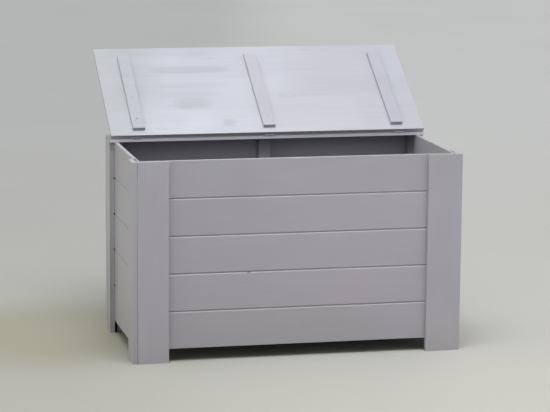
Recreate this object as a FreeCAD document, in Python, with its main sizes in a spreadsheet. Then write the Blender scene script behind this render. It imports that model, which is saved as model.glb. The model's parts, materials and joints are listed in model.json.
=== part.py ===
"""Storage chest with a hinged lid, in millimetres.

Four walls of tongue-and-groove boards stand between outer stiles, which run down to the
floor as feet, and inner posts. Seen from outside, the right-hand stile of each wall laps
the next wall's left-hand one. A rail is fixed across the back of the top, and the lid
swings on three butt hinges whose leaves lie on top of the rail and of the lid.

The front faces -Y and +Z is up. The origin is on the floor, under the middle of the whole
outline with the lid open. The lid and all that is fixed to it are drawn closed, about an
origin on the hinge pins' axis, and are then turned open by their Placement.
"""
import FreeCAD, Part
import math
import os
import Sketcher

BOARDS_PER_WALL = 5
FLOOR_BOARDS = 4
BATTEN_SCREWS = 3
CROSS_REACH = 0.6
CROSS_WIDTH = 0.16
TOLERANCE = 1e-6

DRIVING = [
    ("width", 1200, "chest, outside width"),
    ("depth", 600, "chest, outside depth"),
    ("foot_gap", 47, "floor to the lowest boards"),
    ("first_cover", 133, "height that the lowest wall board covers"),
    ("board_cover", 135, "height that each other wall board covers"),
    ("board_thick", 12.5, "wall and floor boards"),
    ("board_vee", 4, "leg of the chamfers that make the V-joint"),
    ("board_arris", 0.6, "leg of the small chamfers on the other board edges"),
    ("tongue_setback", 5.2, "face of a board to its tongue"),
    ("tongue_thick", 4, "tongue"),
    ("tongue_height", 5.5, "tongue"),
    ("tongue_clearance", 0.15, "tongue to groove, each side"),
    ("groove_spare", 0.6, "groove deeper than the tongue is high"),
    ("stile_thick", 18, "outer corner boards"),
    ("butted_width", 112, "front or back stile behind a side stile's edge"),
    ("lapping_width", 126, "front or back stile that covers a side stile's edge"),
    ("side_butted_width", 74, "side stile behind a front or back stile's edge"),
    ("side_lapping_width", 92, "side stile that covers a front or back stile's edge"),
    ("arris", 1, "radius of the eased edges of stiles, rail, lid and battens"),
    ("post_width", 45, "inner posts, and the middle post's depth"),
    ("corner_post_thick", 21, "corner posts, out from the side walls"),
    ("middle_post_offset", 10, "middle post and bearer, left of the chest's middle"),
    ("post_arris", 2, "radius of the eased edges of posts and bearers"),
    ("front_post_drop", 20, "top of the walls to the top of the front posts"),
    ("bearer_width", 28, "bearers under the floor"),
    ("bearer_height", 28, "bearers under the floor"),
    ("floor_gap", 1.5, "floor boards to the walls and posts"),
    ("rail_depth", 110, "rail across the back of the top"),
    ("lid_overhang", 27, "front of the chest to the lid's front edge, closed"),
    ("lid_thick", 11.5, "lid"),
    ("lid_inset", 3, "chest side to lid side"),
    ("lid_seat_gap", 0.5, "closed lid above the walls"),
    ("lid_open_angle", 148, "closed to open, degrees"),
    ("edge_gap", 0.5, "pin axis to the lid's edge, and to the rail's edge"),
    ("batten_width", 45, "lid battens"),
    ("batten_thick", 13, "lid battens"),
    ("batten_back_inset", 27.5, "lid's back edge to the battens"),
    ("batten_front_gap", 3, "battens to the front wall, closed"),
    ("batten_end_inset", 107.5, "chest side to the middle of an outer batten, on average"),
    ("batten_shift", 2.5, "all battens to the right of the lid's middle"),
    ("hinge_length", 32, "hinge leaves, along the pin"),
    ("hinge_end_inset", 98, "chest side to the middle of an outer hinge"),
    ("leaf_width", 14, "pin axis to the far edge of a leaf"),
    ("leaf_thick", 1.1, "hinge leaves"),
    ("leaf_corner", 1.5, "radius of a leaf's far corners"),
    ("pin_radius", 1.1, "hinge pins"),
    ("pin_clearance", 0.05, "pin to knuckle, radial"),
    ("pin_head_radius", 1.8, "riveted ends of the pins"),
    ("pin_head_height", 0.8, "riveted ends of the pins"),
    ("pin_head_rim", 0.4, "straight rim of the riveted ends"),
    ("knuckle_end_gap", 0.15, "between knuckles, and knuckle to pin head"),
    ("knuckle_clearance", 0.4, "knuckle to the other leaf's plate"),
    ("leaf_screw_setback", 9, "pin axis to the leaf screws"),
    ("leaf_screw_spacing", 18, "between the two screws of a leaf"),
    ("leaf_screw_radius", 1.2, "leaf screws, shank"),
    ("leaf_screw_head", 2.3, "leaf screws, head radius"),
    ("leaf_screw_length", 11, "leaf screws"),
    ("batten_screw_back", 53, "back end of a batten to its first screw"),
    ("batten_screw_front", 129, "front end of a batten to its last screw"),
    ("batten_screw_radius", 1.75, "batten screws, shank"),
    ("batten_screw_head", 3.5, "batten screws, head radius"),
    ("batten_screw_length", 20, "batten screws"),
    ("rail_screw_spacing", 22, "between the two screws over a post"),
    ("rail_screw_radius", 2, "rail screws, shank"),
    ("rail_screw_head", 4, "rail screws, head radius"),
    ("rail_screw_length", 40, "rail screws"),
    ("nail_radius", 1, "floor nails, shank"),
    ("nail_head_radius", 2.25, "floor nails, head"),
    ("nail_head_height", 0.8, "floor nails, head"),
    ("nail_length", 30, "floor nails"),
    ("hole_clearance", 0.05, "fastener to its hole"),
    ("point_length", 4, "points of screws and nails"),
    ("recess_depth", 0.8, "cross recess in the screw heads"),
    ("cutter_spare", 1, "how far a cutting shape starts outside the solid"),
]

DERIVED = [
    ("box_height", f"Dims.foot_gap + Dims.first_cover + {BOARDS_PER_WALL - 1} * Dims.board_cover"),
    ("wall", "Dims.stile_thick + Dims.board_thick"),
    ("inner_half", "Dims.width / 2 - Calc.wall"),
    ("rail_thick", "Dims.lid_thick + Dims.lid_seat_gap"),
    ("rail_top", "Calc.box_height + Calc.rail_thick"),
    ("bore_radius", "Dims.pin_radius + Dims.pin_clearance"),
    ("barrel_radius", "Calc.bore_radius + Dims.leaf_thick"),
    ("pin_back", "Dims.depth - Dims.rail_depth - Dims.edge_gap"),
    ("lid_depth", "Calc.pin_back - Dims.edge_gap + Dims.lid_overhang"),
    ("lid_reach", "Dims.arris - cos(Dims.lid_open_angle) * (Dims.edge_gap + Calc.lid_depth - Dims.arris)"
                  " - sin(Dims.lid_open_angle) * (Calc.barrel_radius + Dims.arris)"),
    ("front_y", "-(Calc.pin_back + Calc.lid_reach) / 2"),
    ("back_y", "Calc.front_y + Dims.depth"),
    ("front_in", "Calc.front_y + Calc.wall"),
    ("back_in", "Calc.back_y - Calc.wall"),
    ("pin_y", "Calc.front_y + Calc.pin_back"),
    ("pin_z", "Calc.rail_top + Calc.barrel_radius"),
    ("bearer_top", "Dims.foot_gap + Dims.bearer_height"),
    ("floor_top", "Calc.bearer_top + Dims.board_thick"),
    ("floor_cover", f"(Calc.back_in - Calc.front_in - 2 * Dims.floor_gap) / {FLOOR_BOARDS}"),
    ("floor_length", "2 * (Calc.inner_half - Dims.floor_gap)"),
    ("lid_under", "Calc.barrel_radius + Dims.lid_thick"),
    ("batten_under", "Calc.lid_under + Dims.batten_thick"),
    ("batten_back", "Dims.edge_gap + Dims.batten_back_inset"),
    ("batten_length", "Calc.pin_back - Calc.batten_back - Calc.wall - Dims.batten_front_gap"),
    ("batten_screw_pitch", "(Calc.batten_length - Dims.batten_screw_back - Dims.batten_screw_front)"
                           f" / {BATTEN_SCREWS - 1}"),
    ("leaf_top", "Dims.leaf_thick - Calc.barrel_radius"),
    ("third", "Dims.hinge_length / 3"),
]

SIDES = {"left": "-1", "middle": "0", "right": "1"}

doc = FreeCAD.newDocument("storage_chest")
dims = doc.addObject("Spreadsheet::Sheet", "Dims")
for row, (alias, size, note) in enumerate(DRIVING, start=1):
    dims.set(f"A{row}", alias)
    dims.set(f"B{row}", str(size))
    dims.set(f"C{row}", note)
    dims.setAlias(f"B{row}", alias)
doc.recompute()

calc = doc.addObject("App::VarSet", "Calc")
for name, formula in DERIVED:
    calc.addProperty("App::PropertyFloat", name, "Derived")
    calc.setExpression(name, formula)
    doc.recompute()

nodes = {}


def number(formula):
    """The value of a formula of the sheet, for a sketch's first guess."""
    return float(dims.evalExpression(formula))


def keep(thing, label):
    """Give a finished sub-part its name and list it for export."""
    thing.Label = label
    nodes[label] = thing
    return thing


def place(thing, x="0", y="0", z="0", axis=None, angle="0"):
    """Put an object at formulas of the sheet, turned about one axis."""
    if axis is not None:
        thing.Placement = FreeCAD.Placement(FreeCAD.Vector(), FreeCAD.Rotation(axis, number(angle)))
        thing.setExpression("Placement.Rotation.Angle", angle)
    thing.setExpression("Placement.Base.x", x)
    thing.setExpression("Placement.Base.y", y)
    thing.setExpression("Placement.Base.z", z)
    return thing


def place_on_lid(thing):
    """Turn something drawn closed about the pin axis to where the open lid is."""
    return place(thing, "0", "Calc.pin_y", "Calc.pin_z", FreeCAD.Vector(1, 0, 0), "-Dims.lid_open_angle")


# ---- sketches and features ----------------------------------------------------------------

def tie(sketch, line, kind, axis, formula):
    """Tie one coordinate of a line's start to a formula; an exact 0 lies on the axis."""
    if formula == "0":
        sketch.addConstraint(Sketcher.Constraint("PointOnObject", line, 1, axis))
        return
    tied = sketch.addConstraint(Sketcher.Constraint(kind, -1, 1, line, 1, number(formula)))
    sketch.setExpression(f"Constraints[{tied}]", formula)


def new_sketch(body, role, label):
    """An empty sketch on one of the body's own origin planes."""
    sketch = body.newObject("Sketcher::SketchObject", label)
    plane = [item for item in body.Origin.OriginFeatures if item.Role == role][0]
    sketch.AttachmentSupport = [(plane, "")]
    sketch.MapMode = "FlatFace"
    return sketch


def outline(body, role, corners, label):
    """A closed outline of straight lines through corners given as pairs of formulas."""
    sketch = new_sketch(body, role, label)
    points = [FreeCAD.Vector(number(u), number(v), 0) for u, v in corners]
    for start, end in zip(points, points[1:] + points[:1]):
        sketch.addGeometry(Part.LineSegment(start, end), False)
    for line, (u, v) in enumerate(corners):
        sketch.addConstraint(Sketcher.Constraint("Coincident", line, 2, (line + 1) % len(corners), 1))
        tie(sketch, line, "DistanceX", -2, u)
        tie(sketch, line, "DistanceY", -1, v)
    return sketch


def rectangle(low_u, low_v, high_u, high_v):
    """The corners of an upright rectangle."""
    return [(low_u, low_v), (high_u, low_v), (high_u, high_v), (low_u, high_v)]


def pad(body, sketch, length, label, symmetric=False):
    """Pad a sketch along its normal."""
    feature = body.newObject("PartDesign::Pad", label)
    feature.Profile = sketch
    feature.SideType = "Symmetric" if symmetric else "One side"
    feature.setExpression("Length", length)
    doc.recompute()
    return feature


def cut_through(body, sketch, label):
    """Pocket a sketch right through the body, and make sure that it removed something."""
    before = body.Shape.Volume
    feature = body.newObject("PartDesign::Pocket", label)
    feature.Profile = sketch
    feature.SideType = "Symmetric"
    feature.Type = "ThroughAll"
    doc.recompute()
    if body.Shape.Volume >= before:
        raise RuntimeError(f"{body.Label}: {label} cut nothing")
    return feature


def is_along(edge, axis):
    """Whether a straight edge runs along one of the three axes."""
    if not isinstance(edge.Curve, Part.Line):
        return False
    return abs(abs(edge.Curve.Direction[axis]) - 1) < TOLERANCE


def ease(body, feature, radius, axes, label):
    """Round the straight edges that run along the given axes."""
    edges = enumerate(feature.Shape.Edges, start=1)
    names = [f"Edge{index}" for index, edge in edges if any(is_along(edge, axis) for axis in axes)]
    fillet = body.newObject("PartDesign::Fillet", label)
    fillet.Base = (feature, names)
    fillet.setExpression("Radius", radius)
    doc.recompute()
    return fillet


def timber(label, length_x, length_y, length_z, radius, axes):
    """A planed piece of timber from the origin up, eased along the given axes."""
    body = doc.addObject("PartDesign::Body", label)
    sketch = outline(body, "XY_Plane", rectangle("0", "0", length_x, length_y), f"{label}_section")
    block = pad(body, sketch, length_z, f"{label}_block")
    ease(body, block, radius, axes, f"{label}_ease")
    return body


def turned(label, profile):
    """A solid of revolution about Z from a half profile of (radius, height) formulas."""
    body = doc.addObject("PartDesign::Body", label)
    sketch = outline(body, "XZ_Plane", profile, f"{label}_profile")
    feature = body.newObject("PartDesign::Revolution", f"{label}_turn")
    feature.Profile = sketch
    feature.ReferenceAxis = (sketch, ["V_Axis"])
    feature.Angle = 360
    doc.recompute()
    return body


def copies(label, master, spots, axis=None, angle="0"):
    """One object that holds a copy of the master at each spot, as separate solids."""
    links = []
    for index, spot in enumerate(spots, start=1):
        link = doc.addObject("App::Link", f"{label}_{index}")
        link.LinkedObject = master
        links.append(place(link, *spot, axis, angle))
    group = doc.addObject("Part::Compound", label)
    group.Links = links
    return group


def bored(label, blank, *hole_groups):
    """The blank with groups of fastener holes cut out of it."""
    result = blank
    for index, holes in enumerate(hole_groups, start=1):
        cut = doc.addObject("Part::Cut", f"{label}_bored_{index}")
        cut.Base = result
        cut.Tool = holes
        doc.recompute()
        if cut.Shape.Volume >= result.Shape.Volume:
            raise RuntimeError(f"{label}: the holes cut nothing")
        result = cut
    return keep(result, label)


# ---- boards -------------------------------------------------------------------------------

TONGUE_BACK = "Dims.tongue_setback + Dims.tongue_thick"
GROOVE_FRONT = "Dims.tongue_setback - Dims.tongue_clearance"
GROOVE_BACK = f"{TONGUE_BACK} + Dims.tongue_clearance"
GROOVE_ROOF = "Dims.tongue_height + Dims.groove_spare"
BACK = "Dims.board_thick"
BACK_EASED = "Dims.board_thick - Dims.board_arris"


def board_profile(cover, has_groove, has_tongue):
    """A board's section: its face at 0, its back at board_thick, 0 to cover in height."""
    lower = [("0", "Dims.board_arris"), ("Dims.board_arris", "0")]
    if has_groove:
        lower = [("0", "Dims.board_vee"), ("Dims.board_vee", "0"), (GROOVE_FRONT, "0"),
                 (GROOVE_FRONT, GROOVE_ROOF), (GROOVE_BACK, GROOVE_ROOF), (GROOVE_BACK, "0")]
    back = [(BACK_EASED, "0"), (BACK, "Dims.board_arris"),
            (BACK, f"{cover} - Dims.board_arris"), (BACK_EASED, cover)]
    upper = [("Dims.board_arris", cover), ("0", f"{cover} - Dims.board_arris")]
    if has_tongue:
        tongue_top = f"{cover} + Dims.tongue_height"
        upper = [(TONGUE_BACK, cover), (TONGUE_BACK, tongue_top), ("Dims.tongue_setback", tongue_top),
                 ("Dims.tongue_setback", cover), ("Dims.board_vee", cover),
                 ("0", f"{cover} - Dims.board_vee")]
    return lower + back + upper


def board(label, cover, length, has_groove, has_tongue):
    """A tongue-and-groove board along X, its face towards -Y and its tongue up."""
    body = doc.addObject("PartDesign::Body", label)
    profile = board_profile(cover, has_groove, has_tongue)
    pad(body, outline(body, "YZ_Plane", profile, f"{label}_section"), length, f"{label}_run")
    return body


def wall(name, length, x, y, angle):
    """The boards of one wall, numbered from the bottom, facing out."""
    for row in range(BOARDS_PER_WALL):
        label = f"{name}_board_{row + 1}"
        cover, bottom = "Dims.first_cover", "Dims.foot_gap"
        if row > 0:
            cover = "Dims.board_cover"
            bottom = f"Dims.foot_gap + Dims.first_cover + {row - 1} * Dims.board_cover"
        body = board(label, cover, length, row > 0, row < BOARDS_PER_WALL - 1)
        keep(place(body, x, y, bottom, FreeCAD.Vector(0, 0, 1), angle), label)


def build_walls():
    """Front and back between the side stiles, sides between front and back."""
    outer = "Dims.width / 2 - Dims.stile_thick"
    full = "Dims.width - 2 * Dims.stile_thick"
    between = "Calc.back_in - Calc.front_in"
    wall("front", full, f"-({outer})", "Calc.front_y + Dims.stile_thick", "0")
    wall("back", full, outer, "Calc.back_y - Dims.stile_thick", "180")
    wall("left", between, f"-({outer})", "Calc.back_in", "-90")
    wall("right", between, outer, "Calc.front_in", "90")


# ---- stiles, posts and bearers ------------------------------------------------------------

def build_stiles():
    """Two boards round each corner, each pair lapped the same way round the chest."""
    left, right = "-Dims.width / 2", "Dims.width / 2"
    front, back = "Calc.front_y", "Calc.back_y"
    thick = "Dims.stile_thick"
    across = [
        ("front_left_stile", "Dims.butted_width", f"{left} + {thick}", front),
        ("front_right_stile", "Dims.lapping_width", f"{right} - Dims.lapping_width", front),
        ("back_left_stile", "Dims.lapping_width", left, f"{back} - {thick}"),
        ("back_right_stile", "Dims.butted_width", f"{right} - {thick} - Dims.butted_width",
         f"{back} - {thick}")]
    along = [
        ("left_front_stile", "Dims.side_lapping_width", left, front),
        ("left_back_stile", "Dims.side_butted_width", left, f"{back} - {thick} - Dims.side_butted_width"),
        ("right_front_stile", "Dims.side_butted_width", f"{right} - {thick}", f"{front} + {thick}"),
        ("right_back_stile", "Dims.side_lapping_width", f"{right} - {thick}",
         f"{back} - Dims.side_lapping_width")]
    for label, width, x, y in across:
        keep(place(timber(label, width, thick, "Calc.box_height", "Dims.arris", [2]), x, y), label)
    for label, width, x, y in along:
        keep(place(timber(label, thick, width, "Calc.box_height", "Dims.arris", [2]), x, y), label)


def line_of(side, reach):
    """X of the middle of one of three like pieces that follow the posts: two at reach, one between."""
    return "-Dims.middle_post_offset" if side == "middle" else f"{SIDES[side]} * {reach}"


def build_posts(rail_holes):
    """Corner posts to the floor, and one upright on the middle bearer; the back ones carry the rail."""
    across = "Calc.inner_half - Dims.corner_post_thick"
    for side, x in (("left", "-Calc.inner_half"), ("right", across)):
        label = f"front_{side}_post"
        front = timber(label, "Dims.corner_post_thick", "Dims.post_width",
                       "Calc.box_height - Dims.front_post_drop", "Dims.post_arris", [2])
        keep(place(front, x, "Calc.front_in"), label)
        label = f"back_{side}_post"
        blank = timber(f"{label}_blank", "Dims.corner_post_thick", "Dims.post_width", "Calc.box_height",
                       "Dims.post_arris", [2])
        bored(label, place(blank, x, "Calc.back_in - Dims.post_width"), rail_holes[side])
    blank = timber("back_middle_post_blank", "Dims.post_width", "Dims.post_width",
                   "Calc.box_height - Calc.bearer_top", "Dims.post_arris", [2])
    place(blank, "-Dims.middle_post_offset - Dims.post_width / 2", "Calc.back_in - Dims.post_width",
          "Calc.bearer_top")
    bored("back_middle_post", blank, rail_holes["middle"])


def build_bearers(nail_holes):
    """Three bearers from front to back, the outer two between the corner posts."""
    low = "Dims.foot_gap"
    inside = "Calc.back_in - Calc.front_in"
    between = f"{inside} - 2 * Dims.post_width"
    spots = {"left": ("-Calc.inner_half", "Calc.front_in + Dims.post_width", between),
             "middle": ("-Dims.middle_post_offset - Dims.bearer_width / 2", "Calc.front_in", inside),
             "right": ("Calc.inner_half - Dims.bearer_width", "Calc.front_in + Dims.post_width", between)}
    for side, (x, y, length) in spots.items():
        blank = timber(f"{side}_bearer_blank", "Dims.bearer_width", length, "Dims.bearer_height",
                       "Dims.post_arris", [1])
        bored(f"{side}_bearer", place(blank, x, y, low), nail_holes[side])


# ---- floor --------------------------------------------------------------------------------

def nail_spots(side=None, row=None):
    """Where the floor nails go: one where each floor board crosses each bearer."""
    reach = "(Calc.inner_half - Dims.bearer_width / 2)"
    sides = SIDES if side is None else [side]
    rows = range(FLOOR_BOARDS) if row is None else [row]
    return [(line_of(s, reach),
             f"Calc.front_in + Dims.floor_gap + {r + 0.5} * Calc.floor_cover",
             "Calc.floor_top") for s in sides for r in rows]


def post_notches(row):
    """Rectangles (along X, across the board) that clear the posts at the floor's four corners."""
    thick = "Dims.corner_post_thick"
    ends = (("0", thick), (f"Calc.floor_length - {thick}", "Calc.floor_length"))
    if row == 0:
        return [rectangle(low, "0", high, "Dims.post_width") for low, high in ends]
    if row < FLOOR_BOARDS - 1:
        return []
    inner = "Calc.floor_cover - Dims.post_width"
    middle = "Calc.floor_length / 2 - Dims.middle_post_offset"
    half = "(Dims.post_width / 2 + Dims.floor_gap)"
    return ([rectangle(low, inner, high, "Calc.floor_cover") for low, high in ends]
            + [rectangle(f"{middle} - {half}", inner, f"{middle} + {half}", "Calc.floor_cover")])


def build_floor(nail_hole):
    """Floor boards from front to back, laid along X with their V-joints up."""
    for row in range(FLOOR_BOARDS):
        label = f"floor_board_{row + 1}"
        blank = board(f"{label}_blank", "Calc.floor_cover", "Calc.floor_length",
                      row > 0, row < FLOOR_BOARDS - 1)
        for index, notch in enumerate(post_notches(row), start=1):
            sketch = outline(blank, "XZ_Plane", notch, f"{label}_notch_{index}")
            cut_through(blank, sketch, f"{label}_cut_{index}")
        place(blank, "Dims.floor_gap - Calc.inner_half",
              f"Calc.front_in + Dims.floor_gap + {row} * Calc.floor_cover", "Calc.floor_top",
              FreeCAD.Vector(1, 0, 0), "-90")
        holes = copies(f"{label}_holes", nail_hole, nail_spots(row=row))
        bored(label, blank, holes)


# ---- fasteners ----------------------------------------------------------------------------

def screw_profile(kind, spare):
    """Half section of a countersunk screw, its head level with 0, or of its hole."""
    shank = f"(Dims.{kind}_radius{spare})"
    head = f"(Dims.{kind}_head{spare})"
    length = f"Dims.{kind}_length"
    cone = [(head, "0"), (shank, f"{shank} - {head}")]
    tail = [(shank, f"Dims.point_length - {length}"), ("0", f"-({length}{spare})")]
    if spare:
        return [("0", "Dims.cutter_spare"), (head, "Dims.cutter_spare")] + cone + tail
    return [("0", "0")] + cone + tail


def nail_profile(spare):
    """Half section of a flat-headed nail, its head level with 0, or of its hole."""
    shank = f"(Dims.nail_radius{spare})"
    head = f"(Dims.nail_head_radius{spare})"
    top = "Dims.cutter_spare" if spare else "0"
    return [("0", top), (head, top), (head, "-Dims.nail_head_height"), (shank, "-Dims.nail_head_height"),
            (shank, "Dims.point_length - Dims.nail_length"), ("0", f"-(Dims.nail_length{spare})")]


def cross_recess(body, head):
    """A cross recess in a screw's head, its reach and half width as shares of the head."""
    arm = f"{CROSS_REACH} * {head}"
    slot = f"{CROSS_WIDTH} * {head}"
    corners = [(arm, f"-{slot}"), (arm, slot), (slot, slot), (slot, arm),
               (f"-{slot}", arm), (f"-{slot}", slot), (f"-{arm}", slot), (f"-{arm}", f"-{slot}"),
               (f"-{slot}", f"-{slot}"), (f"-{slot}", f"-{arm}"), (slot, f"-{arm}"), (slot, f"-{slot}")]
    before = body.Shape.Volume
    pocket = body.newObject("PartDesign::Pocket", f"{body.Name}_recess")
    pocket.Profile = outline(body, "XY_Plane", corners, f"{body.Name}_cross")
    pocket.setExpression("Length", "Dims.recess_depth")
    doc.recompute()
    if body.Shape.Volume >= before:
        raise RuntimeError(f"{body.Label}: the recess cut nothing")


def screw_pair(kind):
    """One kind of countersunk screw and its hole."""
    screw = turned(f"one_{kind}", screw_profile(kind, ""))
    cross_recess(screw, f"Dims.{kind}_head")
    hole = turned(f"{kind}_hole", screw_profile(kind, " + Dims.hole_clearance"))
    return screw, hole


# ---- hinges -------------------------------------------------------------------------------

def hinge_x(side):
    """Middle of a hinge along the pin axis."""
    return f"{SIDES[side]} * (Dims.width / 2 - Dims.hinge_end_inset)"


def leaf_screw_spots(x, y, z, away):
    """The two screws of a leaf, away from the pin axis towards +Y (1) or -Y (-1)."""
    return [(f"{x} + {end} * Dims.leaf_screw_spacing / 2", f"{y} + {away} * Dims.leaf_screw_setback",
             f"{z} + Calc.leaf_top") for end in (-1, 1)]


def leaf_section(body, away, label):
    """A leaf's section: a plate tangent to the bottom of its rolled knuckle."""
    sketch = new_sketch(body, "YZ_Plane", label)
    radius = number("Calc.barrel_radius")
    bore_radius = number("Calc.bore_radius")
    top = number("Calc.leaf_top")
    width = away * number("Dims.leaf_width")
    meet = away * math.sqrt(radius ** 2 - top ** 2)
    bottom_angle = -math.pi / 2
    meet_angle = math.atan2(top, meet)
    start, end = (meet_angle, bottom_angle) if away > 0 else (bottom_angle, meet_angle)
    if end <= start:
        end += 2 * math.pi
    barrel = Part.Circle(FreeCAD.Vector(), FreeCAD.Vector(0, 0, 1), radius)
    corners = [FreeCAD.Vector(0, -radius, 0), FreeCAD.Vector(width, -radius, 0),
               FreeCAD.Vector(width, top, 0), FreeCAD.Vector(meet, top, 0)]
    sketch.addGeometry(Part.LineSegment(corners[0], corners[1]), False)
    sketch.addGeometry(Part.LineSegment(corners[1], corners[2]), False)
    sketch.addGeometry(Part.LineSegment(corners[2], corners[3]), False)
    sketch.addGeometry(Part.ArcOfCircle(barrel, start, end), False)
    sketch.addGeometry(Part.Circle(FreeCAD.Vector(), FreeCAD.Vector(0, 0, 1), bore_radius), False)
    under, far, over, knuckle, bore = range(5)
    at_meet, at_bottom = (1, 2) if away > 0 else (2, 1)
    sketch.addConstraint(Sketcher.Constraint("Coincident", knuckle, 3, -1, 1))
    sketch.addConstraint(Sketcher.Constraint("Coincident", bore, 3, -1, 1))
    sketch.addConstraint(Sketcher.Constraint("Coincident", under, 2, far, 1))
    sketch.addConstraint(Sketcher.Constraint("Coincident", far, 2, over, 1))
    sketch.addConstraint(Sketcher.Constraint("Coincident", over, 2, knuckle, at_meet))
    sketch.addConstraint(Sketcher.Constraint("Coincident", under, 1, knuckle, at_bottom))
    sketch.addConstraint(Sketcher.Constraint("PointOnObject", under, 1, -2))
    sketch.addConstraint(Sketcher.Constraint("Horizontal", under))
    sketch.addConstraint(Sketcher.Constraint("Vertical", far))
    sketch.addConstraint(Sketcher.Constraint("Horizontal", over))
    sizes = [(Sketcher.Constraint("Radius", knuckle, radius), "Calc.barrel_radius"),
             (Sketcher.Constraint("Radius", bore, bore_radius), "Calc.bore_radius"),
             (Sketcher.Constraint("DistanceX", -1, 1, far, 1, width), f"{away} * Dims.leaf_width"),
             (Sketcher.Constraint("DistanceY", -1, 1, over, 1, top), "Calc.leaf_top")]
    for constraint, formula in sizes:
        tied = sketch.addConstraint(constraint)
        sketch.setExpression(f"Constraints[{tied}]", formula)
    return sketch


def hinge_leaf(label, away, knuckle_gaps):
    """A leaf about the pin axis with gaps (along X) for the other leaf's knuckles."""
    body = doc.addObject("PartDesign::Body", f"{label}_blank")
    plate = pad(body, leaf_section(body, away, f"{label}_section"), "Dims.hinge_length", f"{label}_run", True)
    near = f"{-away} * (Calc.barrel_radius + Dims.cutter_spare)"
    far = f"{away} * (Calc.barrel_radius + Dims.knuckle_clearance)"
    for index, (low, high) in enumerate(knuckle_gaps, start=1):
        sketch = outline(body, "XY_Plane", rectangle(low, near, high, far), f"{label}_gap_{index}")
        plate = cut_through(body, sketch, f"{label}_gap_cut_{index}")
    reach = number("Dims.leaf_width")
    corners = [f"Edge{index}" for index, edge in enumerate(plate.Shape.Edges, start=1)
               if is_along(edge, 2) and abs(abs(edge.CenterOfMass.y) - reach) < TOLERANCE]
    fillet = body.newObject("PartDesign::Fillet", f"{label}_corners")
    fillet.Base = (plate, corners)
    fillet.setExpression("Radius", "Dims.leaf_corner")
    doc.recompute()
    return body


def hinge_pin(label):
    """A pin along X with a low riveted head at each end."""
    body = doc.addObject("PartDesign::Body", label)
    shoulder = "(Dims.hinge_length / 2 + Dims.knuckle_end_gap)"
    end = f"({shoulder} + Dims.pin_head_height)"
    half = [(shoulder, "Dims.pin_radius"), (shoulder, "Dims.pin_head_radius"),
            (f"{shoulder} + Dims.pin_head_rim", "Dims.pin_head_radius"), (end, "Dims.pin_radius"), (end, "0")]
    mirrored = [(f"-({x})", r) for x, r in reversed(half)]
    sketch = outline(body, "XY_Plane", half + mirrored, f"{label}_profile")
    feature = body.newObject("PartDesign::Revolution", f"{label}_turn")
    feature.Profile = sketch
    feature.ReferenceAxis = (sketch, ["H_Axis"])
    feature.Angle = 360
    doc.recompute()
    return body


def build_hinges(leaf_screw, leaf_hole):
    """Three butt hinges: two knuckles on the rail's leaf, one between them on the lid's leaf."""
    edge = "(Calc.third / 2 + Dims.knuckle_end_gap / 2)"
    inner = "(Calc.third / 2 - Dims.knuckle_end_gap / 2)"
    end = "(Dims.hinge_length / 2 + Dims.cutter_spare)"
    rail_gaps = [(f"-{edge}", edge)]
    lid_gaps = [(f"-{end}", f"-{inner}"), (inner, end)]
    holes = {away: copies(f"leaf_holes_{name}", leaf_hole, leaf_screw_spots("0", "0", "0", away))
             for away, name in ((1, "rail"), (-1, "lid"))}
    for side in SIDES:
        label = f"{side}_rail_leaf"
        leaf = bored(label, hinge_leaf(label, 1, rail_gaps), holes[1])
        place(leaf, hinge_x(side), "Calc.pin_y", "Calc.pin_z")
        label = f"{side}_lid_leaf"
        leaf = bored(label, hinge_leaf(label, -1, lid_gaps), holes[-1])
        place_on_lid(leaf)
        leaf.setExpression("Placement.Base.x", hinge_x(side))
        label = f"{side}_hinge_pin"
        keep(place(hinge_pin(label), hinge_x(side), "Calc.pin_y", "Calc.pin_z"), label)
    rail_spots = [spot for side in SIDES
                  for spot in leaf_screw_spots(hinge_x(side), "Calc.pin_y", "Calc.pin_z", 1)]
    keep(copies("rail_leaf_screws", leaf_screw, rail_spots), "rail_leaf_screws")
    lid_spots = [spot for side in SIDES for spot in leaf_screw_spots(hinge_x(side), "0", "0", -1)]
    keep(place_on_lid(copies("lid_leaf_screws", leaf_screw, lid_spots)), "lid_leaf_screws")
    return (copies("rail_leaf_holes", leaf_hole, rail_spots),
            copies("lid_leaf_holes", leaf_hole, lid_spots))


# ---- rail and lid -------------------------------------------------------------------------

def rail_screw_spots(side):
    """The two rail screws over one of the back posts, one behind the other."""
    reach = "(Calc.inner_half - Dims.corner_post_thick / 2)"
    return [(line_of(side, reach),
             f"Calc.back_in - Dims.post_width / 2 + {end} * Dims.rail_screw_spacing / 2",
             "Calc.rail_top") for end in (-1, 1)]


def build_rail(rail_hole, leaf_holes):
    """The fixed rail that the lid is hinged to."""
    blank = timber("hinge_rail_blank", "Dims.width", "Dims.rail_depth", "Calc.rail_thick", "Dims.arris", [0])
    place(blank, "-Dims.width / 2", "Calc.back_y - Dims.rail_depth", "Calc.box_height")
    spots = [spot for side in SIDES for spot in rail_screw_spots(side)]
    bored("hinge_rail", blank, copies("rail_holes", rail_hole, spots), leaf_holes)


def batten_x(side):
    """Middle of a batten along X."""
    return f"(Dims.batten_shift + {SIDES[side]} * (Dims.width / 2 - Dims.batten_end_inset))"


def batten_screw_spots(side):
    """The screws of one batten, driven up into the lid, in the closed lid's frame."""
    first = "Calc.batten_back + Dims.batten_screw_back"
    return [(batten_x(side), f"-({first} + {index} * Calc.batten_screw_pitch)", "-Calc.batten_under")
            for index in range(BATTEN_SCREWS)]


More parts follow.
